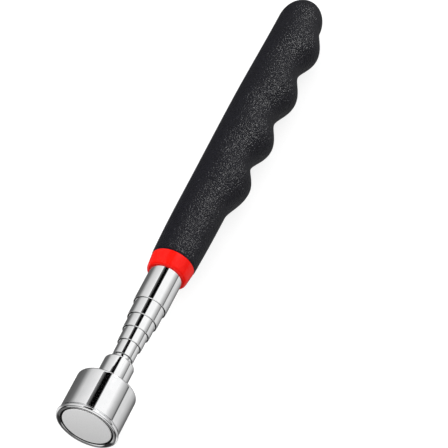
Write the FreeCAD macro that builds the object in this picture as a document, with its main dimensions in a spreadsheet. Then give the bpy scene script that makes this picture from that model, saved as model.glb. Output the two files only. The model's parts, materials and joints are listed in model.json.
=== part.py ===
import FreeCAD, Part
import math
import os
from FreeCAD import Placement, Rotation, Vector
import Sketcher

# Telescopic magnetic pickup tool, lying along X. Millimetres.
# The magnet's face is at the origin and looks along -X; the handle is on the +X side.
doc = FreeCAD.newDocument("pickup_tool")

# ---------------------------------------------------------------- driving dimensions
SIZES = [
    # magnet head
    ("rim_proud", 0.2, "rim stands this far in front of the magnet"),
    ("rim_end", 1.4, "back of the rolled rim"),
    ("rim_round", 0.83, "radius of the rolled rim's section"),
    ("rim_crest_r", 11.17, "where the rim stands furthest forward"),
    ("rim_inner_round", 1.4, "rounding of the rim's inner edge"),
    ("rim_back_r", 11.48, "where the rolled rim ends behind"),
    ("rim_root_r", 10.9, "groove behind the rim"),
    ("cup_r", 11.5, "outside of the cup"),
    ("cup_bore_r", 10.3, "inside of the cup"),
    ("cup_len", 18.1, "magnet face to the cup's shoulder"),
    ("cup_corner", 1.2, "rounding of the shoulder"),
    ("cup_floor_x", 13.4, "inside face of the cup's floor"),
    ("magnet_r", 9.5, "magnet disc"),
    ("magnet_len", 10.0, "magnet thickness"),
    ("magnet_chamfer", 0.25, "edge break of the magnet"),
    ("gap_recess", 0.4, "insulating ring sits behind the magnet face"),
    ("screw_r", 1.5, "head screw shank"),
    ("screw_head_r", 3.2, "head screw head"),
    ("screw_head_len", 2.0, "head screw head height"),
    ("screw_end", 26.6, "tip of the head screw"),
    ("socket_r", 1.45, "hexagon socket, across corners / 2"),
    ("socket_len", 1.2, "hexagon socket depth"),
    ("neck_r", 5.8, "neck hub"),
    ("neck_end", 29.6, "neck hub top face"),
    ("neck_chamfer", 0.9, "neck hub top corner"),
    ("neck_floor_x", 21.4, "floor of the socket that takes the mast"),
    ("plug_end", 30.6, "end of the threaded plug in the mast"),
    # mast
    ("wall", 0.3, "tube wall"),
    ("od_1", 6.5, "outer radius of the fixed section"),
    ("od_2", 5.9, "outer radius"),
    ("od_3", 5.3, "outer radius"),
    ("od_4", 4.7, "outer radius"),
    ("od_5", 4.1, "outer radius"),
    ("od_6", 3.5, "outer radius of the thinnest section"),
    ("mouth_1", 55.9, "front edge of the section"),
    ("mouth_2", 48.9, "front edge"),
    ("mouth_3", 43.2, "front edge"),
    ("mouth_4", 37.4, "front edge"),
    ("mouth_5", 31.4, "front edge"),
    ("lip_len", 0.24, "length of the rolled lip"),
    ("lip_drop", 0.2, "how far the lip rolls in"),
    ("lip_round", 0.25, "radius of the rolled lip"),
    ("lip_gap", 0.05, "radial clearance of the lip on the next section"),
    ("mast_rear", 176.0, "rear ends of the sliding sections, closed"),
    ("bead_front", 9.6, "front of the stop bead, from the rear end"),
    ("bead_back", 8.4, "back of the stop bead, from the rear end"),
    ("bead_ramp", 0.3, "ramp of the bead"),
    ("bead_rise", 0.18, "height of the bead"),
    ("shell_front", 8.2, "front of the friction shells, from the rear end"),
    ("shell_back", 2.15, "back of the friction shells, from the rear end"),
    ("shell_fit", 0.03, "radial clearance of the shells, inside and outside"),
    ("shell_sweep", 172.0, "arc of one friction shell, degrees"),
    ("bush_len", 2.0, "retaining bush"),
    ("bush_fit", 0.05, "radial clearance of the bush"),
    # handle
    ("fixed_rear", 184.0, "rear end of the fixed section"),
    ("base_front", 176.2, "front face of the base plug"),
    ("base_end", 185.5, "rear face of the base plug's flange"),
    ("collar_front", 71.2, "front face of the collar"),
    ("collar_round", 0.8, "rounding of the collar's front edge"),
    ("collar_r_front", 7.98, "collar radius at its front"),
    ("collar_r_rear", 8.56, "collar radius at the grip"),
    ("grip_front", 77.5, "front edge of the grip"),
    ("spigot_end", 83.5, "rear end of the collar's spigot"),
    ("core_r", 7.4, "outside of the handle core"),
    ("core_front", 83.6, "front end of the handle core"),
    ("core_seat", 185.6, "end of the bore that takes the mast"),
    ("core_hollow_r", 5.6, "hollow behind the mast"),
    ("core_hollow_end", 203.4, "end of the hollow"),
    ("core_end", 206.0, "rear end of the handle core"),
    ("core_corner", 2.0, "rounding of the core's rear end"),
    ("grip_r_front", 8.75, "grip radius at its front edge"),
    ("grip_r_neck", 9.3, "grip radius where the ridges begin"),
    ("grip_r_mid", 9.55, "grip radius in the middle"),
    ("grip_r_rear", 8.95, "grip radius where the dome begins"),
    ("grip_edge", 1.2, "rounding of the grip's front edge"),
    ("ridge_start", 107.0, "front end of the ridged length"),
    ("ridge_stop", 207.0, "rear end of the ridged length"),
    ("ridge_a", 121.9, "crest of the first ridge"),
    ("valley_a", 132.6, "valley between ridges"),
    ("ridge_b", 144.6, "crest of the second ridge"),
    ("valley_b", 156.8, "valley between ridges"),
    ("ridge_c", 170.0, "crest of the third ridge"),
    ("valley_c", 182.8, "valley between ridges"),
    ("ridge_d", 195.3, "crest of the fourth ridge"),
    ("ridge_rise", 4.0, "height of the ridges"),
    ("ridge_turn", 17.0, "ridges point this far below -Y, degrees"),
    ("dome_len", 11.8, "length of the domed end"),
]

sheet = doc.addObject("Spreadsheet::Sheet", "Sheet")
for row, (alias, number, note) in enumerate(SIZES, start=1):
    sheet.set("A%d" % row, alias)
    sheet.set("B%d" % row, "%g" % number)
    sheet.set("C%d" % row, note)
    sheet.setAlias("B%d" % row, alias)
doc.recompute()


def token_value(token):
    """A number, or the value of a named size."""
    if token[0].isdigit():
        return float(token)
    return float(sheet.get(token))


def value(sum_text):
    """The value of a sum of named sizes, such as 'cup_len - cup_corner'."""
    total = 0.0
    sign = 1.0
    for token in sum_text.split():
        if token == "-":
            sign = -1.0
        elif token == "+":
            sign = 1.0
        else:
            total += sign * token_value(token)
            sign = 1.0
    return total


def bound(sum_text):
    """The same sum as an expression on the sheet."""
    words = []
    for token in sum_text.split():
        plain = token in "+-" or token[0].isdigit()
        words.append(token if plain else "Sheet." + token)
    return " ".join(words)


def origin_plane(body, role):
    for feature in body.Origin.OriginFeatures:
        if feature.Role == role:
            return feature
    raise ValueError(role)


def new_body(node):
    body = doc.addObject("PartDesign::Body", node)
    body.Label = node
    return body


def new_sketch(body, name, role):
    sketch = body.newObject("Sketcher::SketchObject", name)
    sketch.AttachmentSupport = [(origin_plane(body, role), "")]
    sketch.MapMode = "FlatFace"
    return sketch


def arc_between(start, end, radius, turn):
    """Arc from start to end, bending left (turn 1) or right (turn -1) of the way it goes."""
    middle = (start + end) * 0.5
    chord = end - start
    half = chord.Length / 2.0
    normal = Vector(-chord.y, chord.x, 0).normalize()
    centre = middle + normal * (turn * math.sqrt(max(radius * radius - half * half, 0.0)))
    first, last = (start, end) if turn > 0 else (end, start)
    angles = [math.atan2(p.y - centre.y, p.x - centre.x) for p in (first, last)]
    if angles[1] < angles[0]:
        angles[1] += 2.0 * math.pi
    circle = Part.Circle(centre, Vector(0, 0, 1), radius)
    return Part.ArcOfCircle(circle, angles[0], angles[1])


def closed_profile(sketch, corners):
    """Closed outline. Each corner is (x, r) or (x, r, arc radius, turn) for the side after it."""
    points = [Vector(value(c[0]), value(c[1]), 0) for c in corners]
    ends = []
    for i, corner in enumerate(corners):
        start = points[i]
        end = points[(i + 1) % len(points)]
        if len(corner) == 2:
            side = sketch.addGeometry(Part.LineSegment(start, end), False)
            ends.append((side, 1, 2))
        else:
            turn = corner[3]
            side = sketch.addGeometry(arc_between(start, end, value(corner[2]), turn), False)
            ends.append((side, 1, 2) if turn > 0 else (side, 2, 1))
    for i in range(len(ends)):
        after = ends[(i + 1) % len(ends)]
        sketch.addConstraint(Sketcher.Constraint("Coincident", ends[i][0], ends[i][2], after[0], after[1]))
    for i, corner in enumerate(corners):
        side, begin = ends[i][0], ends[i][1]
        for kind, text, axis in (("DistanceX", corner[0], -2), ("DistanceY", corner[1], -1)):
            size = value(text)
            if abs(size) < 1e-9:
                sketch.addConstraint(Sketcher.Constraint("PointOnObject", side, begin, axis))
                continue
            index = sketch.addConstraint(Sketcher.Constraint(kind, -1, 1, side, begin, size))
            sketch.setExpression("Constraints[%d]" % index, bound(text))
        if len(corner) > 2:
            size = value(corner[2])
            index = sketch.addConstraint(Sketcher.Constraint("Radius", side, size))
            sketch.setExpression("Constraints[%d]" % index, bound(corner[2]))


def turned(node, corners, sweep=None, start_angle=0.0):
    """A body turned about the X axis from its half outline."""
    body = new_body(node)
    sketch = new_sketch(body, node + "_outline", "XY_Plane")
    closed_profile(sketch, corners)
    doc.recompute()
    turn = body.newObject("PartDesign::Revolution", node + "_turned")
    turn.Profile = sketch
    turn.ReferenceAxis = (sketch, ["H_Axis"])
    turn.Angle = 360.0
    if sweep:
        turn.setExpression("Angle", bound(sweep))
        body.Placement = Placement(Vector(0, 0, 0), Rotation(Vector(1, 0, 0), start_angle))
    body.Tip = turn
    doc.recompute()
    return body


# ---------------------------------------------------------------- magnet head
turned("magnet_cup", [
    ("0.25", "cup_bore_r"),
    ("cup_floor_x", "cup_bore_r"),
    ("cup_floor_x", "screw_head_r + 0.1"),
    ("cup_floor_x + screw_head_len + 0.2", "screw_head_r + 0.1"),
    ("cup_floor_x + screw_head_len + 0.2", "screw_r + 0.1"),
    ("cup_len", "screw_r + 0.1"),
    ("cup_len", "cup_r - cup_corner", "cup_corner", 1),
    ("cup_len - cup_corner", "cup_r"),
    ("rim_end + 0.45", "cup_r"),
    ("rim_end + 0.4", "rim_root_r"),
    ("rim_end + 0.05", "rim_root_r"),
    ("rim_end", "rim_back_r", "rim_round", 1),
    ("0.0 - rim_proud", "rim_crest_r", "rim_inner_round", 1),
])
turned("magnet", [
    ("0.0", "0.0"),
    ("0.0", "magnet_r - magnet_chamfer"),
    ("magnet_chamfer", "magnet_r"),
    ("magnet_len", "magnet_r"),
    ("magnet_len", "0.0"),
])
turned("gap_ring", [
    ("gap_recess", "magnet_r"),
    ("gap_recess", "cup_bore_r"),
    ("magnet_len", "cup_bore_r"),
    ("magnet_len", "magnet_r"),
])
turned("back_plate", [
    ("magnet_len", "0.0"),
    ("magnet_len", "cup_bore_r - 0.1"),
    ("cup_floor_x", "cup_bore_r - 0.1"),
    ("cup_floor_x", "0.0"),
])

screw = turned("head_screw", [
    ("cup_floor_x + 0.1", "0.0"),
    ("cup_floor_x + 0.1", "screw_head_r - 0.3"),
    ("cup_floor_x + 0.4", "screw_head_r"),
    ("cup_floor_x + screw_head_len + 0.2", "screw_head_r"),
    ("cup_floor_x + screw_head_len + 0.2", "screw_r"),
    ("screw_end - 0.4", "screw_r"),
    ("screw_end", "screw_r - 0.4"),
    ("screw_end", "0.0"),
])
hexagon = new_sketch(screw, "head_screw_hexagon", "YZ_Plane")
corner_r = value("socket_r")
rim = [Vector(corner_r * math.cos(math.radians(60 * i)), corner_r * math.sin(math.radians(60 * i)), 0)
       for i in range(6)]
guide = hexagon.addGeometry(Part.Circle(Vector(0, 0, 0), Vector(0, 0, 1), corner_r), True)
hexagon.addConstraint(Sketcher.Constraint("Coincident", guide, 3, -1, 1))
index = hexagon.addConstraint(Sketcher.Constraint("Radius", guide, corner_r))
hexagon.setExpression("Constraints[%d]" % index, bound("socket_r"))
sides = [hexagon.addGeometry(Part.LineSegment(rim[i], rim[(i + 1) % 6]), False) for i in range(6)]
for i in range(6):
    hexagon.addConstraint(Sketcher.Constraint("Coincident", sides[i], 2, sides[(i + 1) % 6], 1))
    hexagon.addConstraint(Sketcher.Constraint("PointOnObject", sides[i], 1, guide))
for i in range(5):
    hexagon.addConstraint(Sketcher.Constraint("Equal", sides[i], sides[i + 1]))
hexagon.addConstraint(Sketcher.Constraint("PointOnObject", sides[0], 1, -1))
hexagon.setExpression("AttachmentOffset.Base.z", bound("cup_floor_x + 0.1"))
doc.recompute()
socket = screw.newObject("PartDesign::Pocket", "head_screw_socket")
socket.Profile = hexagon
socket.setExpression("Length", bound("socket_len"))
socket.Reversed = True
screw.Tip = socket
doc.recompute()

turned("neck", [
    ("cup_len", "screw_r + 0.1"),
    ("neck_floor_x", "screw_r + 0.1"),
    ("neck_floor_x", "od_6 + 0.02"),
    ("neck_end", "od_6 + 0.02"),
    ("neck_end", "neck_r - neck_chamfer"),
    ("neck_end - neck_chamfer", "neck_r"),
    ("cup_len", "neck_r"),
])
turned("mast_plug", [
    ("neck_floor_x", "screw_r"),
    ("plug_end", "screw_r"),
    ("plug_end", "od_6 - wall - 0.3"),
    ("plug_end - 0.3", "od_6 - wall"),
    ("neck_floor_x", "od_6 - wall"),
])

# ---------------------------------------------------------------- mast
SECTIONS = range(1, 7)
LAST = SECTIONS[-1]


def section_outline(number):
    """Half outline of one mast section: rolled mouth in front, stop bead near the rear."""
    outer = "od_%d" % number
    inner = outer + " - wall"
    rear = "fixed_rear" if number == 1 else "mast_rear"
    if number == LAST:
        front = [("neck_floor_x", inner), ("neck_floor_x", outer)]
    else:
        mouth = "mouth_%d" % number
        lip = "od_%d + lip_gap" % (number + 1)
        front = [
            (mouth + " + 1.1", inner),
            (mouth + " + 0.35", lip),
            (mouth, lip),
            (mouth, outer + " - lip_drop", "lip_round", -1),
            (mouth + " + lip_len", outer),
        ]
    if number == 1:
        return front + [(rear, outer), (rear, inner)]
    bead = []
    for radius in (outer, inner):
        bead.append([
            (rear + " - bead_front", radius),
            (rear + " - bead_front + bead_ramp", radius + " + bead_rise"),
            (rear + " - bead_back - bead_ramp", radius + " + bead_rise"),
            (rear + " - bead_back", radius),
        ])
    return front + bead[0] + [(rear, outer), (rear, inner)] + bead[1][::-1]


for number in SECTIONS:
    turned("tube_%d" % number, section_outline(number))

for number in SECTIONS[1:]:
    outer = "od_%d" % number
    room = "od_%d - wall" % (number - 1)
    shell = [
        ("mast_rear - shell_front", outer + " + shell_fit"),
        ("mast_rear - shell_back", outer + " + shell_fit"),
        ("mast_rear - shell_back", room + " - shell_fit"),
        ("mast_rear - shell_front", room + " - shell_fit"),
    ]
    slack = (180.0 - value("shell_sweep")) / 2.0
    turned("friction_shell_%da" % number, shell, "shell_sweep", slack)
    turned("friction_shell_%db" % number, shell, "shell_sweep", 180.0 + slack)
    turned("retaining_bush_%d" % number, [
        ("mast_rear - bush_len", outer),
        ("mast_rear", outer),
        ("mast_rear", room + " - bush_fit"),
        ("mast_rear - bush_len", room + " - bush_fit"),
    ])

turned("base_plug", [
    ("base_front", "0.0"),
    ("base_front", "od_1 - wall - 0.4"),
    ("base_front + 0.4", "od_1 - wall"),
    ("fixed_rear", "od_1 - wall"),
    ("fixed_rear", "od_1"),
    ("base_end", "od_1"),
    ("base_end", "0.0"),
])

# ---------------------------------------------------------------- handle
turned("front_collar", [
    ("collar_front", "od_1"),
    ("spigot_end", "od_1"),
    ("spigot_end", "core_r"),
    ("grip_front", "core_r"),
    ("grip_front", "collar_r_rear"),
    ("collar_front + collar_round", "collar_r_front", "collar_round", 1),
    ("collar_front", "collar_r_front - collar_round"),
])
turned("handle_core", [
    ("core_front", "od_1"),
    ("core_seat", "od_1"),
    ("core_seat", "core_hollow_r"),
    ("core_hollow_end", "core_hollow_r"),
    ("core_hollow_end", "0.0"),
    ("core_end", "0.0"),
    ("core_end", "core_r - core_corner", "core_corner", 1),
    ("core_end - core_corner", "core_r"),
    ("core_front", "core_r"),
])


def smooth(t):
    """Eases from 0 to 1 with level ends."""
    t = min(max(t, 0.0), 1.0)
    return 0.5 - 0.5 * math.cos(math.pi * t)


KNOTS = [value(n) for n in ("ridge_start", "ridge_a", "valley_a", "ridge_b", "valley_b",
                            "ridge_c", "valley_c", "ridge_d", "ridge_stop")]


def ridge_height(x):
    """0 in the valleys, 1 on the crests, easing between them along the grip."""
    if x <= KNOTS[0] or x >= KNOTS[-1]:
        return 0.0
    for i in range(len(KNOTS) - 1):
        if x <= KNOTS[i + 1]:
            t = smooth((x - KNOTS[i]) / (KNOTS[i + 1] - KNOTS[i]))
            rise = t if i % 2 == 0 else 1.0 - t
            steep = 0.8 if i in (0, len(KNOTS) - 2) else 1.0
            return rise ** steep
    return 0.0


def grip_radius(x):
    """Radius of the grip's round body, from its front edge to where the dome begins."""
    front, start, stop = value("grip_front + grip_edge"), KNOTS[0], KNOTS[-1]
    middle = value("valley_b")
    if x <= start:
        t = (x - front) / (start - front)
        return value("grip_r_front") + (1.0 - (1.0 - t) ** 2) * value("grip_r_neck - grip_r_front")
    if x <= middle:
        t = smooth((x - start) / (middle - start))
        return value("grip_r_neck") + t * value("grip_r_mid - grip_r_neck")
    t = smooth((x - middle) / (stop - middle))
    return value("grip_r_mid") + t * value("grip_r_rear - grip_r_mid")


AROUND = 24


def grip_ring(x, radius):
    """Control points of the grip's outside at x, bulging to the ridge side.

    The smooth surface runs a little inside its control points, which shrink makes up for."""
    back = math.radians(value("ridge_turn"))
    shrink = (2.0 + math.cos(2.0 * math.pi / AROUND)) / 3.0
    ring = []
    for i in range(AROUND):
        angle = 2.0 * math.pi * i / AROUND
        spread = (0.5 - 0.5 * math.cos(angle)) ** 1.7
        r = (radius + value("ridge_rise") * ridge_height(x) * spread) / shrink
        ring.append(Vector(x, r * math.cos(angle + back), r * math.sin(angle + back)))
    return ring


def spaced(first, last, count):
    return [first + (last - first) * i / count for i in range(count)]


front_x, edge, start, stop = value("grip_front"), value("grip_edge"), KNOTS[0], KNOTS[-1]
stations = []
for i in range(4):
    a = math.radians(22.5 * i)
    stations.append((front_x + edge * (1.0 - math.cos(a)),
                     value("grip_r_front") - 0.75 * edge * (1.0 - math.sin(a))))
plain = spaced(front_x + edge, start, 7) + spaced(start, stop, 50)
stations += [(x, grip_radius(x)) for x in plain]
for i in range(12):
    a = math.radians(7.9 * i)
    stations.append((stop + value("dome_len") * math.sin(a), value("grip_r_rear") * math.cos(a)))

rings = [grip_ring(x, r) for x, r in stations]
along = len(rings) - 2
surface = Part.BSplineSurface()
surface.buildFromPolesMultsKnots(
    rings, [4] + [1] * (along - 2) + [4], [1] * (AROUND + 1),
    [float(i) for i in range(along)], [float(i) for i in range(AROUND + 1)],
    False, True, 3, 3)
side = surface.toShape()
ends = [e for e in side.Edges if e.BoundBox.XLength < 0.001]
caps = [Part.Face(Part.Wire([e])) for e in ends]
skin = Part.makeCompound([side] + caps)
skin.sewShape(0.0001)
outside = Part.Solid(skin.Shells[0])
if outside.Volume < 0:
    outside.reverse()

core_end, core_r = value("core_end"), value("core_r")
room = Part.makeCylinder(core_r, core_end - front_x + 1.0, Vector(front_x - 1.0, 0, 0), Vector(1, 0, 0))
far_edges = [e for e in room.Edges if e.Length > 1.0 and e.CenterOfMass.x > core_end - 0.01]
room = room.makeFillet(value("core_corner"), far_edges)
grip = doc.addObject("Part::Feature", "grip")
grip.Label = "grip"
grip.Shape = outside.cut(room).Solids[0]
grip.Placement = Placement()
doc.recompute()

# ---------------------------------------------------------------- check and write
os.makedirs("parts", exist_ok=True)
nodes = [o for o in doc.Objects if o.TypeId in ("PartDesign::Body", "Part::Feature")]
for node in doc.Objects:
    for word in node.State:
        if word in ("Invalid", "Error"):
            raise ValueError("%s is %s" % (node.Name, word))
for node in nodes:
    shape = node.Shape
    if shape.isNull() or not shape.isValid() or len(shape.Solids) != 1:
        raise ValueError("%s has a bad shape" % node.Label)
    box = shape.optimalBoundingBox(False, False)
    print("%-20s vol %9.2f  x %7.2f %7.2f  z %6.2f %6.2f" % (
        node.Label, shape.Volume, box.XMin, box.XMax, box.ZMin, box.ZMax))
    shape.exportStep("parts/%s.step" % node.Label)
print(len(nodes), "parts")
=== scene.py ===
# %% [markdown]
# # A telescopic magnetic pickup tool
# A round magnet sits in a chrome cup at the end of a nested tube mast. A red collar and a soft
# black grip with finger ridges make the handle. The tool lies along X: the magnet's face is at
# the origin and looks towards -X, and the handle is on the +X side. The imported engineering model
# is loaded first, because every piece modelled here has to fit it and move with it.

# %% Load the frame
import json
import math
import bmesh
import bpy
from mathutils import Matrix, Vector


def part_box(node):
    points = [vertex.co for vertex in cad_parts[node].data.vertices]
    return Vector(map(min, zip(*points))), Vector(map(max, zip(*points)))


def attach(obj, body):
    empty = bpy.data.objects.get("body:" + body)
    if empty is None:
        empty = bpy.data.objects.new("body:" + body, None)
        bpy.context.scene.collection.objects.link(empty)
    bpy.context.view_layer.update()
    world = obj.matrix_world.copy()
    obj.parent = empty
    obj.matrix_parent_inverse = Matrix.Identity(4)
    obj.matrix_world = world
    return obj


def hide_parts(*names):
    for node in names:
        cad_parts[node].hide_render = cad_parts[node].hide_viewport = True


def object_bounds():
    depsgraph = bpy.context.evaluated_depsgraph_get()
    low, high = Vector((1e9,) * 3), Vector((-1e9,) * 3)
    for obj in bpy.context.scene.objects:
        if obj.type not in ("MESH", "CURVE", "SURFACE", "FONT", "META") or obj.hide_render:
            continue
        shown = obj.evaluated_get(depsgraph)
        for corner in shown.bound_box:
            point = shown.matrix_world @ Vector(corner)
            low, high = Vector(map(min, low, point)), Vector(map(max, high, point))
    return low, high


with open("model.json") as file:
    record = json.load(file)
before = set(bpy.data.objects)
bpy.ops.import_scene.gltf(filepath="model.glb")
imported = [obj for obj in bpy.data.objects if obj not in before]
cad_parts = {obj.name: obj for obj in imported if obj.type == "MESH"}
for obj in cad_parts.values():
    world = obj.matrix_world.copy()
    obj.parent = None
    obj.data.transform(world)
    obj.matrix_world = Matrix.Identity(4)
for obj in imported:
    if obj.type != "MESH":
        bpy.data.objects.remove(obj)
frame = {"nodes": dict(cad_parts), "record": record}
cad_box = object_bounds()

MM = 0.001
nodes = frame["nodes"]
body_of = {node: body for body, members in frame["record"]["behaviour"]["bodies"].items()
           for node in members}
slot_of = {entry["node"]: entry["material_slot"] for entry in frame["record"]["subparts"]}

# %% [markdown]
# ## Turned pieces
# The cup, the neck, the mast's sections and the collar are round. On a lathe, such a piece is one
# half outline swept about an axis, and the spin operator does the same: a few corners are joined
# by edges and spun about X. Rounded edges aren't drawn point by point. The sharp ring that a
# corner leaves is found again by its place, and bevelled, which keeps each outline short.

# %% Spin an outline and round its corners
AROUND = 192


def ring_edges(bm, x, r):
    """The edges that a corner at (x, r) left behind when it was spun about X."""
    def on_ring(vert):
        return abs(vert.co.x - x) < 1e-6 and abs(math.hypot(vert.co.y, vert.co.z) - r) < 1e-6
    return [edge for edge in bm.edges if on_ring(edge.verts[0]) and on_ring(edge.verts[1])]


def turned(name, corners, rounds=(), closed=True, segments=6):
    """A piece spun about X. corners are (x, r) in mm; rounds are (corner number, radius in mm)."""
    bm = bmesh.new()
    verts = [bm.verts.new((x * MM, 0.0, r * MM)) for x, r in corners]
    pairs = list(zip(verts, verts[1:]))
    if closed:
        pairs.append((verts[-1], verts[0]))
    edges = [bm.edges.new(pair) for pair in pairs]
    bmesh.ops.spin(bm, geom=verts + edges, cent=(0, 0, 0), axis=(1, 0, 0), dvec=(0, 0, 0),
                   angle=2 * math.pi, steps=AROUND, use_merge=True, use_duplicate=False)
    bmesh.ops.remove_doubles(bm, verts=bm.verts, dist=1e-7)
    bmesh.ops.recalc_face_normals(bm, faces=bm.faces)
    for number, radius in rounds:
        x, r = corners[number]
        bmesh.ops.bevel(bm, geom=ring_edges(bm, x * MM, r * MM), offset=radius * MM,
                        offset_type="OFFSET", affect="EDGES", segments=segments,
                        profile=0.5, material=-1, clamp_overlap=True)
    return to_object(bm, name)


def to_object(bm, name, sharp_degrees=35):
    """The finished mesh as an object at the origin, smooth but for its sharp edges."""
    mesh = bpy.data.meshes.new(name)
    bm.to_mesh(mesh)
    bm.free()
    for polygon in mesh.polygons:
        polygon.use_smooth = True
    mesh.set_sharp_from_angle(angle=math.radians(sharp_degrees))
    piece = bpy.data.objects.new(name, mesh)
    bpy.context.scene.collection.objects.link(piece)
    print(name, len(mesh.polygons), "faces")
    return piece


def stands_for(piece, node):
    """piece is shown in place of the CAD node, on its body and in its finish."""
    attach(piece, body_of[node])
    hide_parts(node)
    piece.data.materials.clear()
    piece.data.materials.append(FINISH[slot_of[node]])
    return piece

# %% [markdown]
# ## Finishes
# Each finish is one Principled shader with a little unevenness, as every real surface has: a
# noise on Object coordinates drives the colour and the roughness, and where the skin has a grain,
# a bump. A value that is the same all over a surface is set straight on the shader.

# %% A helper for noise on a surface
def new_finish(name):
    material = bpy.data.materials.new(name)
    material.use_nodes = True
    tree = material.node_tree
    shader = tree.nodes["Principled BSDF"]
    place = tree.nodes.new("ShaderNodeTexCoord")
    return material, tree, shader, place


def add_noise(tree, place, scale, detail=3.0):
    noise = tree.nodes.new("ShaderNodeTexNoise")
    noise.inputs["Scale"].default_value = scale
    noise.inputs["Detail"].default_value = detail
    tree.links.new(place.outputs["Object"], noise.inputs["Vector"])
    return noise


def drive(tree, source, socket, low, high):
    """source, from 0 to 1, sets the socket between low and high."""
    scale = tree.nodes.new("ShaderNodeMapRange")
    scale.inputs["To Min"].default_value = low
    scale.inputs["To Max"].default_value = high
    tree.links.new(source, scale.inputs["Value"])
    tree.links.new(scale.outputs["Result"], socket)


def tint(tree, source, shader, low, high, start=0.35, end=0.65):
    """source mixes the base colour from low to high."""
    ramp = tree.nodes.new("ShaderNodeValToRGB")
    ramp.color_ramp.elements[0].position = start
    ramp.color_ramp.elements[1].position = end
    ramp.color_ramp.elements[0].color = (*low, 1)
    ramp.color_ramp.elements[1].color = (*high, 1)
    tree.links.new(source, ramp.inputs["Fac"])
    tree.links.new(ramp.outputs["Color"], shader.inputs["Base Color"])


def add_bump(tree, source, shader, depth_mm, strength=1.0):
    bump = tree.nodes.new("ShaderNodeBump")
    bump.inputs["Distance"].default_value = depth_mm * MM
    bump.inputs["Strength"].default_value = strength
    tree.links.new(source, bump.inputs["Height"])
    tree.links.new(bump.outputs["Normal"], shader.inputs["Normal"])

# %% [markdown]
# ### Metals
# Bright chrome plate is almost a mirror, so nearly all its look comes from what it reflects. The
# magnet is plated too, but its face is ground and dull. The pieces inside the mast are turned
# brass and spring bronze.

# %% Metal finishes
def metal(name, low, high, smooth, rough, metallic=1.0, scale=900.0, grain_mm=0.0):
    material, tree, shader, place = new_finish(name)
    shader.inputs["Metallic"].default_value = metallic
    noise = add_noise(tree, place, scale)
    tint(tree, noise.outputs["Fac"], shader, low, high)
    drive(tree, noise.outputs["Fac"], shader.inputs["Roughness"], smooth, rough)
    if grain_mm:
        add_bump(tree, noise.outputs["Fac"], shader, grain_mm)
    return material


chrome = metal("bright_chrome", (0.93, 0.935, 0.94), (0.97, 0.97, 0.975), 0.03, 0.07, scale=250.0)
nickel = metal("satin_nickel", (0.91, 0.91, 0.91), (0.95, 0.95, 0.95), 0.42, 0.5,
               metallic=0.15, scale=1500.0, grain_mm=0.004)
zinc = metal("zinc_plate", (0.55, 0.56, 0.58), (0.62, 0.63, 0.65), 0.25, 0.4)
brass = metal("turned_brass", (0.72, 0.50, 0.20), (0.80, 0.58, 0.27), 0.2, 0.35)
bronze = metal("spring_bronze", (0.62, 0.36, 0.18), (0.70, 0.42, 0.22), 0.25, 0.4)
aluminium = metal("turned_aluminium", (0.70, 0.71, 0.72), (0.77, 0.78, 0.79), 0.25, 0.4)

# %% [markdown]
# ### Plastics and rubber
# The collar is a glossy moulding. The grip is soft and matt, with a fine pebbled skin from its
# etched mould: small cells for the pebbles and a noise that makes some stand higher.

# %% Plastic finishes
def plastic(name, low, high, smooth, rough, grain_mm=0.0, scale=700.0, gloss=0.5):
    """A plastic; gloss is the strength of its clear reflection, 0.5 for most of them."""
    material, tree, shader, place = new_finish(name)
    shader.inputs["Specular IOR Level"].default_value = gloss
    noise = add_noise(tree, place, scale)
    tint(tree, noise.outputs["Fac"], shader, low, high)
    drive(tree, noise.outputs["Fac"], shader.inputs["Roughness"], smooth, rough)
    if grain_mm:
        add_bump(tree, noise.outputs["Fac"], shader, grain_mm)
    return material


collar_red = plastic("glossy_red", (0.86, 0.004, 0.001), (0.92, 0.007, 0.002), 0.12, 0.2,
                     gloss=0.18)
core_grey = plastic("core_plastic", (0.010, 0.010, 0.011), (0.016, 0.016, 0.018), 0.4, 0.55, 0.01)
gap_black = plastic("matt_black", (0.002, 0.002, 0.002), (0.005, 0.005, 0.005), 0.7, 0.9, 0.01,
                    gloss=0.15)

# %% The pebbled rubber
PEBBLE_SCALE = 1800.0
rubber, tree, shader, place = new_finish("pebbled_rubber")
pebbles = tree.nodes.new("ShaderNodeTexVoronoi")
pebbles.feature = "SMOOTH_F1"
pebbles.inputs["Scale"].default_value = PEBBLE_SCALE
tree.links.new(place.outputs["Object"], pebbles.inputs["Vector"])
patches = add_noise(tree, place, 900.0, 4.0)
height = tree.nodes.new("ShaderNodeMath")
height.operation = "MULTIPLY"
tree.links.new(pebbles.outputs["Distance"], height.inputs[0])
tree.links.new(patches.outputs["Fac"], height.inputs[1])
add_bump(tree, height.outputs["Value"], shader, 0.85)
tint(tree, patches.outputs["Fac"], shader, (0.003, 0.003, 0.0055), (0.007, 0.007, 0.0115))
drive(tree, pebbles.outputs["Distance"], shader.inputs["Roughness"], 0.28, 0.5)
shader.inputs["Specular IOR Level"].default_value = 0.16

FINISH = {"chrome": chrome, "nickel": nickel, "zinc_steel": zinc, "brass": brass,
          "bronze": bronze, "plug_metal": aluminium, "black_plastic": gap_black,
          "core_plastic": core_grey, "collar_plastic": collar_red, "grip_rubber": rubber}
print("finishes", len(FINISH))

# %% [markdown]
# ## The magnet head
# The cup is a deep drawn or turned steel shell. Its front edge is rolled into a bead a little
# wider than the body, and its shoulder is well rounded. The magnet sits just behind the bead, with
# a thin black ring between them so that the pull goes through the face. The screw hole is as
# wide as the screw's head all through, so the shoulder under the head isn't modelled here.

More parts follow.
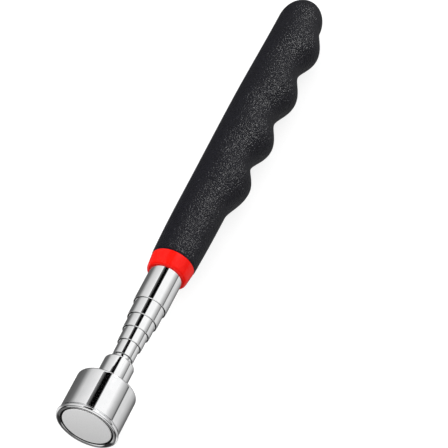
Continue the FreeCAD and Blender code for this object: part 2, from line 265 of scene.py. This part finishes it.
# %% Cup, magnet and ring
cup_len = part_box("magnet_cup")[1].x / MM
rim_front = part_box("magnet_cup")[0].x / MM
rim_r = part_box("magnet_cup")[1].z / MM
magnet_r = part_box("magnet")[1].z / MM
ring_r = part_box("gap_ring")[1].z / MM
ring_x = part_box("gap_ring")[0].x / MM
magnet_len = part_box("magnet")[1].x / MM
BODY_R, GROOVE_R, CREST_R, SCREW_R = 11.5, 10.9, 11.17, 3.3
BEAD_BACK, GROOVE_LEN, STEP_LEN, FLOOR_X = 1.4, 0.4, 0.45, 13.4
RIM_DEPTH = 0.3
cup = turned("cup_shell", [
    (rim_front + RIM_DEPTH, ring_r), (FLOOR_X, ring_r), (FLOOR_X, SCREW_R), (cup_len, SCREW_R),
    (cup_len, BODY_R), (BEAD_BACK + STEP_LEN, BODY_R), (BEAD_BACK + GROOVE_LEN, GROOVE_R),
    (BEAD_BACK, GROOVE_R), (BEAD_BACK, rim_r), (rim_front, rim_r), (rim_front, CREST_R)],
    rounds=[(4, 1.1), (8, 0.7), (9, 0.8)], segments=9)
disc = turned("magnet_disc", [(0, 0), (0, magnet_r), (magnet_len, magnet_r), (magnet_len, 0)],
              rounds=[(1, 0.25)], closed=False, segments=3)
ring = turned("insulating_ring", [
    (ring_x, magnet_r + 0.01), (ring_x, ring_r), (magnet_len, ring_r),
    (magnet_len, magnet_r + 0.01)])
for piece, node in ((cup, "magnet_cup"), (disc, "magnet"), (ring, "gap_ring")):
    stands_for(piece, node)

# %% [markdown]
# ### The neck
# The neck is a short turned hub with a chamfered rear corner. The thinnest mast section goes into
# its socket, so its bore is left open down to the socket's floor.

# %% Neck
neck_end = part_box("neck")[1].x / MM
neck_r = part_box("neck")[1].z / MM
NECK_FLOOR, NECK_CHAMFER, CLAMP_BORE = 21.4, 0.9, 1.6
THIN_R, SOCKET_FIT = 3.5, 0.02
socket_r = THIN_R + SOCKET_FIT
neck = turned("neck_hub", [
    (cup_len, CLAMP_BORE), (NECK_FLOOR, CLAMP_BORE), (NECK_FLOOR, socket_r),
    (neck_end, socket_r), (neck_end, neck_r - NECK_CHAMFER), (neck_end - NECK_CHAMFER, neck_r),
    (cup_len, neck_r)],
    rounds=[(4, 0.3), (5, 0.4)], segments=4)
stands_for(neck, "neck")

# %% [markdown]
# ## The mast
# Six thin tubes, each sliding and turning in the next. A rolled mouth keeps each inner tube's
# rear bead from coming out, and is what the eye sees as a row of fine dark rings. One outline
# serves them all: only the radius, the ends and the bead differ.

# %% Mast sections
WALL, LIP_GAP, BEAD_RISE = 0.3, 0.12, 0.18
MOUTH_LEN, LIP_LEN = 1.1, 0.35
BEAD_FRONT, BEAD_REAR, BEAD_SLOPE = 9.6, 8.4, 0.3  # the first two count from the rear end
OUTER = {1: 6.5, 2: 5.9, 3: 5.3, 4: 4.7, 5: 4.1, 6: 3.5}


def section(number):
    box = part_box("tube_%d" % number)
    front, rear, outer = box[0].x / MM, box[1].x / MM, OUTER[number]
    inner = outer - WALL
    rounds = []
    if number == 6:
        mouth = [(front, inner), (front, outer)]
    else:
        lip = OUTER[number + 1] + LIP_GAP
        mouth = [(front + MOUTH_LEN, inner), (front + LIP_LEN, lip), (front, lip), (front, outer)]
        rounds = [(3, 0.14)]
    tail = [(rear, outer), (rear, inner)]
    if number > 1:
        a, b = rear - BEAD_FRONT, rear - BEAD_REAR
        out = [(a, outer), (a + BEAD_SLOPE, outer + BEAD_RISE),
               (b - BEAD_SLOPE, outer + BEAD_RISE), (b, outer)]
        tail = out + tail + [(x, r - WALL) for x, r in reversed(out)]
    return turned("mast_section_%d" % number, mouth + tail, rounds=rounds, segments=5)


for number in OUTER:
    stands_for(section(number), "tube_%d" % number)

# %% [markdown]
# ## The collar
# A red moulded ring that flares towards the grip. Behind the grip's front edge it goes on as a
# thinner spigot, which is hidden but closes the joint when seen from the side. Bounced light
# from the ring is switched off, so that it leaves no red glow on the pale floor.

# %% Collar
collar_front, collar_back = (c.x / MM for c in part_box("front_collar"))
grip_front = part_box("grip")[0].x / MM
core_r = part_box("handle_core")[1].z / MM
mast_r = OUTER[1]
COLLAR_REAR_R, COLLAR_FRONT_R = 8.56, 7.93
collar = turned("red_collar", [
    (collar_front, mast_r), (collar_back, mast_r), (collar_back, core_r), (grip_front, core_r),
    (grip_front, COLLAR_REAR_R), (collar_front, COLLAR_FRONT_R)],
    rounds=[(5, 1.1), (0, 0.25)], segments=7)
stands_for(collar, "front_collar")
collar.visible_diffuse = False

# %% [markdown]
# ## The grip
# The grip is round but for four ridges on one side, which fade into the back. It starts as one
# circle of edges at the front. The circle is extruded again and again, and each new ring is moved
# to its place and then stretched to the ridge side, so the mesh stays clean quads all along.

# %% Shape of the ridges
RIDGE_KNOTS = [107.0, 121.9, 132.6, 144.6, 156.8, 170.0, 182.8, 195.3, 207.0]
RIDGE_RISE = 3.8
RIDGE_TURN = math.radians(17.0)
RIDGE_SPREAD, END_FULLNESS = 1.7, 0.8
FRONT_R, NECK_R, MID_R, REAR_R = 8.75, 9.3, 9.55, 8.95
EDGE, EDGE_DROP = 1.2, 0.75


def ease(t):
    return 0.5 - 0.5 * math.cos(math.pi * min(max(t, 0.0), 1.0))


def ridge_height(x):
    """0 in the valleys and 1 on the crests."""
    for i, (a, b) in enumerate(zip(RIDGE_KNOTS, RIDGE_KNOTS[1:])):
        if a < x <= b:
            t = ease((x - a) / (b - a))
            rise = t if i % 2 == 0 else 1.0 - t
            return rise ** END_FULLNESS if i in (0, len(RIDGE_KNOTS) - 2) else rise
    return 0.0


def round_radius(x):
    """Radius of the grip's round back."""
    start, middle, stop = RIDGE_KNOTS[0], RIDGE_KNOTS[4], RIDGE_KNOTS[-1]
    if x <= start:
        t = (x - grip_front - EDGE) / (start - grip_front - EDGE)
        return FRONT_R + (1.0 - (1.0 - t) ** 2) * (NECK_R - FRONT_R)
    if x <= middle:
        return NECK_R + ease((x - start) / (middle - start)) * (MID_R - NECK_R)
    return MID_R + ease((x - middle) / (stop - middle)) * (REAR_R - MID_R)

# %% [markdown]
# ### The sleeve
# Each station is a place along the grip and a radius: a rounded front edge, the long body, and
# the dome. A second extrusion of the first circle makes the bore that takes the core.

# %% Extrude the grip ring by ring
EDGE_TURN, BODY_STEPS, DOME_TURN = 18.0, 150, 5.5
BORE_GAP = 0.1
grip_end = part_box("grip")[1].x / MM
dome_start = RIDGE_KNOTS[-1]
dome_len = grip_end - dome_start
stations = []
for i in range(6):
    a = math.radians(EDGE_TURN * i)
    stations.append((grip_front + EDGE * (1 - math.cos(a)),
                     FRONT_R - EDGE_DROP * EDGE * (1 - math.sin(a))))
for i in range(1, BODY_STEPS + 1):
    x = grip_front + EDGE + (dome_start - grip_front - EDGE) * i / BODY_STEPS
    stations.append((x, round_radius(x)))
for i in range(1, 17):
    a = math.radians(DOME_TURN * i)
    stations.append((dome_start + dome_len * math.sin(a), REAR_R * math.cos(a)))


def shape_ring(verts, x, r):
    """Puts one ring at x, round with radius r, and stretches it to the ridge side."""
    for vert in verts:
        angle = math.atan2(vert.co.z, vert.co.y)
        spread = (0.5 - 0.5 * math.cos(angle - RIDGE_TURN)) ** RIDGE_SPREAD
        reach = (r + RIDGE_RISE * ridge_height(x) * spread) * MM
        vert.co = Vector((x * MM, reach * math.cos(angle), reach * math.sin(angle)))


bm = bmesh.new()
made = bmesh.ops.create_circle(bm, cap_ends=False, segments=96, radius=core_r * MM,
                               matrix=Matrix.Rotation(math.pi / 2, 4, "Y"))
for vert in made["verts"]:
    vert.co.x = grip_front * MM
rim_edges = list(bm.edges)
for x, r in stations:
    grown = bmesh.ops.extrude_edge_only(bm, edges=rim_edges)["geom"]
    ring_verts = [g for g in grown if isinstance(g, bmesh.types.BMVert)]
    rim_edges = [g for g in grown if isinstance(g, bmesh.types.BMEdge)]
    shape_ring(ring_verts, x, r)
bmesh.ops.contextual_create(bm, geom=rim_edges)
inner_edges = [e for e in bm.edges if e.is_boundary]
core_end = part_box("handle_core")[1].x / MM
bore = bmesh.ops.extrude_edge_only(bm, edges=inner_edges)["geom"]
bore_verts = [g for g in bore if isinstance(g, bmesh.types.BMVert)]
for vert in bore_verts:
    vert.co.x = (core_end + BORE_GAP) * MM
bmesh.ops.contextual_create(bm, geom=[g for g in bore if isinstance(g, bmesh.types.BMEdge)])
bmesh.ops.recalc_face_normals(bm, faces=bm.faces)
grip = to_object(bm, "ridged_grip", 50)
stands_for(grip, "grip")

# %% [markdown]
# ## Pieces kept from the frame
# The plug, the shells, the bushes and the other inner pieces already have the right shape. They
# only get their finish.

# %% Finish the inner pieces
for node, thing in nodes.items():
    if not thing.hide_render:
        thing.data.materials.clear()
        thing.data.materials.append(FINISH[slot_of[node]])

# %% [markdown]
# ## Studio
# Chrome shows its surroundings, so the studio is built for it, and it isn't a plain one. What a
# polished tube along X shows depends mostly on the direction around X: a bright ceiling, darker
# sides, and a narrow dark line at the horizon. The world shader gives mirrors and matt surfaces
# different skies. The bands are tuned for the main view, and other views show other parts of them.

# %% Helpers for the sky
world = bpy.data.worlds.new("studio")
bpy.context.scene.world = world
world.use_nodes = True
sky = world.node_tree
backdrop = sky.nodes["Background"]
look = sky.nodes.new("ShaderNodeTexCoord")
split = sky.nodes.new("ShaderNodeSeparateXYZ")
sky.links.new(look.outputs["Generated"], split.inputs["Vector"])
around = sky.nodes.new("ShaderNodeMath")
around.operation = "ARCTAN2"
sky.links.new(split.outputs["Z"], around.inputs[0])
sky.links.new(split.outputs["Y"], around.inputs[1])
wrap = sky.nodes.new("ShaderNodeMath")
wrap.operation = "WRAP"
wrap.inputs[1].default_value = math.radians(270)
wrap.inputs[2].default_value = math.radians(-90)
sky.links.new(around.outputs["Value"], wrap.inputs[0])
turn = sky.nodes.new("ShaderNodeMapRange")
turn.inputs["From Min"].default_value = math.radians(-90)
turn.inputs["From Max"].default_value = math.radians(270)
sky.links.new(wrap.outputs["Value"], turn.inputs["Value"])


def sky_ramp(stops, source):
    """A colour ramp in the sky from (place from 0 to 1, brightness, strength)."""
    ramp = sky.nodes.new("ShaderNodeValToRGB")
    for i, (at, bright, strength) in enumerate(stops):
        stop = ramp.color_ramp.elements[i] if i < 2 else ramp.color_ramp.elements.new(at)
        stop.position = at
        stop.color = (bright, bright, bright, strength)
    sky.links.new(source, ramp.inputs["Fac"])
    return ramp


def sky_mix(factor, low, high):
    """low where factor is 0, and high where it is 1."""
    mix = sky.nodes.new("ShaderNodeMix")
    mix.data_type = "RGBA"
    sky.links.new(factor, mix.inputs["Factor"])
    sky.links.new(low, mix.inputs["A"])
    sky.links.new(high, mix.inputs["B"])
    return mix.outputs["Result"]

# %% [markdown]
# ### What mirrors see
# The sky is a ramp around X. Directions that don't point to the handle get two low lit strips,
# which shape the cup's rim. Ring faces that look forward get their own part along X, with a dark
# band between lighter ends: it draws the fine dark ring at each mouth.

# %% Sky around X, and along it
SKY = [  # direction around X, degrees from +Y over the top, and brightness
    (-90, 0.10), (-20, 0.12), (-2, 0.16), (7, 0.30), (23, 0.62), (60, 0.82), (70, 0.95),
    (142, 1.0), (158, 0.62), (174, 0.34), (177.5, 0.22), (179, 0.08), (182, 0.08), (184, 0.72),
    (205, 0.68), (228, 0.45), (248, 0.20), (270, 0.10)]
STRIPS = [  # the same where directions don't point to the handle: two low strips are lit
    (-90, 0.12), (-62, 0.18), (-50, 0.80), (-28, 0.80), (-12, 0.16), (7, 0.30), (23, 0.62),
    (60, 0.82), (70, 0.95), (142, 1.0), (158, 0.62), (174, 0.34), (179, 0.08), (182, 0.08),
    (184, 0.72), (205, 0.68), (228, 0.40), (236, 0.30), (246, 0.80), (260, 0.80), (268, 0.12),
    (270, 0.12)]
FRONT_SKY = [  # part of a direction along X, brightness and strength, for what ring faces show
    (-1.0, 0.95, 1), (-0.93, 0.92, 1), (-0.87, 0.90, 0), (-0.72, 0.03, 0), (-0.67, 0.03, 1),
    (-0.52, 0.03, 1), (-0.46, 0.03, 0)]
bands, strips = (sky_ramp([((degrees + 90.0) / 360.0, bright, 1) for degrees, bright in stops],
                          turn.outputs["Result"]) for stops in (SKY, STRIPS))
along = sky.nodes.new("ShaderNodeMapRange")
along.inputs["From Min"].default_value = -1.0
sky.links.new(split.outputs["X"], along.inputs["Value"])
front = sky_ramp([((x + 1.0) / 2.0, bright, strength) for x, bright, strength in FRONT_SKY],
                 along.outputs["Result"])
STRIPS_FROM, STRIPS_FULL = 0.45, 0.25  # part of a direction along X
forward = sky.nodes.new("ShaderNodeMapRange")
forward.inputs["From Min"].default_value = STRIPS_FROM
forward.inputs["From Max"].default_value = STRIPS_FULL
sky.links.new(split.outputs["X"], forward.inputs["Value"])
shown = sky_mix(forward.outputs["Result"], bands.outputs["Color"], strips.outputs["Color"])
shown = sky_mix(front.outputs["Alpha"], shown, front.outputs["Color"])

# %% [markdown]
# ### What matt surfaces see
# A smooth grey sky, brighter above and behind than below and in front, gives the rubber and the
# red plastic their soft shading.

# %% Sky for matt surfaces
PLAIN_SKY = (0.35, 1.35)  # from low in front of the magnet to high behind the handle
BRIGHT_WAY = (0.7, 0.0, 0.7)
path = sky.nodes.new("ShaderNodeLightPath")
lit_side = sky.nodes.new("ShaderNodeVectorMath")
lit_side.operation = "DOT_PRODUCT"
lit_side.inputs[1].default_value = BRIGHT_WAY
sky.links.new(look.outputs["Generated"], lit_side.inputs[0])
plain = sky.nodes.new("ShaderNodeMapRange")
plain.inputs["From Min"].default_value = -1.0
plain.inputs["To Min"].default_value = PLAIN_SKY[0]
plain.inputs["To Max"].default_value = PLAIN_SKY[1]
sky.links.new(lit_side.outputs["Value"], plain.inputs["Value"])
lit = sky_mix(path.outputs["Is Glossy Ray"], plain.outputs["Result"], shown)
sky.links.new(lit, backdrop.inputs["Color"])
backdrop.inputs["Strength"].default_value = 1.0
print("sky stops", len(SKY), len(STRIPS), len(FRONT_SKY))

# %% [markdown]
# ### The black card
# A card above the tool gives the chrome its strong black stripe. It is wide over the cup and
# narrow over the mast, and its long edges fade. Only mirrors see it, so it throws no shade.

# %% Black card above the tool, wide over the cup and narrow over the mast
CARD_HEIGHT = 0.30
CARD_EDGES = [  # x and left edge, as shares of the height
    (-0.40, 0.384), (0.772, 0.384), (0.776, 0.26), (0.81, 0.18), (0.86, 0.14), (3.0, 0.135)]
CARD_RIGHT = -0.22
bm = bmesh.new()
bmesh.ops.create_grid(bm, x_segments=len(CARD_EDGES) - 1, y_segments=1, size=1.0)
columns = sorted({round(vert.co.x, 4) for vert in bm.verts})
for vert in bm.verts:
    x, left = CARD_EDGES[columns.index(round(vert.co.x, 4))]
    y = left if vert.co.y > 0 else CARD_RIGHT
    vert.co = Vector((x, y, 1.0)) * CARD_HEIGHT
card = to_object(bm, "black_card")
card_black, tree, shader, place = new_finish("card_black")
shader.inputs["Base Color"].default_value = (0, 0, 0, 1)
shader.inputs["Specular IOR Level"].default_value = 0.0
card_sides = tree.nodes.new("ShaderNodeSeparateXYZ")
tree.links.new(place.outputs["Object"], card_sides.inputs["Vector"])
across = tree.nodes.new("ShaderNodeMapRange")
across.inputs["From Min"].default_value = CARD_RIGHT * CARD_HEIGHT
across.inputs["From Max"].default_value = CARD_EDGES[0][1] * CARD_HEIGHT
tree.links.new(card_sides.outputs["Y"], across.inputs["Value"])
fade = tree.nodes.new("ShaderNodeValToRGB")
fade.color_ramp.elements[0].color = (0, 0, 0, 1)
fade.color_ramp.elements[1].color = (0.75, 0.75, 0.75, 1)
for at in (0.12, 0.62):
    fade.color_ramp.elements.new(at).color = (1, 1, 1, 1)
tree.links.new(across.outputs["Result"], fade.inputs["Fac"])
tree.links.new(fade.outputs["Color"], shader.inputs["Alpha"])
card.data.materials.append(card_black)
card.visible_camera = False
card.visible_shadow = False
card.visible_diffuse = False

# %% [markdown]
# ### Floor and lamps
# The floor is pale and partly lit from itself, so that shadows stay faint. Mirrors and bounced
# light pass it by. A large soft lamp lights everything, and a small one behind the tool only
# adds glints to the pebbled rubber.

# %% Floor
FLOOR_HALF, FLOOR_GLOW = 3.0, 0.78
bm = bmesh.new()
bmesh.ops.create_grid(bm, x_segments=1, y_segments=1, size=FLOOR_HALF,
                      matrix=Matrix.Translation((0, 0, cad_box[0][2])))
floor = to_object(bm, "pale_floor")
pale, tree, shader, place = new_finish("pale_floor")
noise = add_noise(tree, place, 3.0)
tint(tree, noise.outputs["Fac"], shader, (0.32, 0.32, 0.32), (0.35, 0.35, 0.35))
shader.inputs["Emission Color"].default_value = (1, 1, 1, 1)
shader.inputs["Emission Strength"].default_value = FLOOR_GLOW
shader.inputs["Roughness"].default_value = 1.0
shader.inputs["Specular IOR Level"].default_value = 0.0
floor.data.materials.append(pale)
floor.visible_glossy = False
floor.visible_diffuse = False

# %% Lamps
TARGET = Vector((0.12, 0, 0))


def soft_lamp(name, away, size, power):
    """A round lamp that looks at the tool."""
    data = bpy.data.lights.new(name, "AREA")
    data.shape = "DISK"
    data.size = size
    data.energy = power
    lamp = bpy.data.objects.new(name, data)
    bpy.context.scene.collection.objects.link(lamp)
    lamp.location = TARGET + Vector(away)
    lamp.rotation_euler = (-Vector(away)).to_track_quat("-Z", "Y").to_euler()
    return lamp


key = soft_lamp("key_lamp", (-0.45, 0.7, 0.9), 0.7, 5.0)
key.visible_glossy = False
sparkle = soft_lamp("sparkle_lamp", (0.232, -0.172, 0.326), 0.06, 3.0)
sparkle.visible_diffuse = False

# %% [markdown]
# ## Camera
# A long lens from well in front of the magnet and above, so that the head looks large and the
# handle runs away to the upper right. The camera is level, and is placed from its direction and
# the place of the magnet's face in its view.

# %% Camera
AZIMUTH, ELEVATION = math.radians(22.31), math.radians(52.03)
FACE_RIGHT, FACE_DOWN, FACE_AWAY = -0.04845, 0.07137, 0.8446
ahead = Vector((math.cos(ELEVATION) * math.cos(AZIMUTH), math.cos(ELEVATION) * math.sin(AZIMUTH),
                -math.sin(ELEVATION)))
right = Vector((math.sin(AZIMUTH), -math.cos(AZIMUTH), 0.0))
up = right.cross(ahead)
camera_data = bpy.data.cameras.new("camera")
camera_data.sensor_width = 36.0
camera_data.lens = 192.9
camera_data.clip_start = 0.01
camera_data.clip_end = 20.0
camera = bpy.data.objects.new("camera", camera_data)
bpy.context.scene.collection.objects.link(camera)
turn_matrix = Matrix((right, up, -ahead)).transposed().to_4x4()
place_at = -(FACE_RIGHT * right - FACE_DOWN * up + FACE_AWAY * ahead)
camera.matrix_world = Matrix.Translation(place_at) @ turn_matrix
bpy.context.scene.camera = camera
bpy.context.scene.view_settings.view_transform = "Standard"
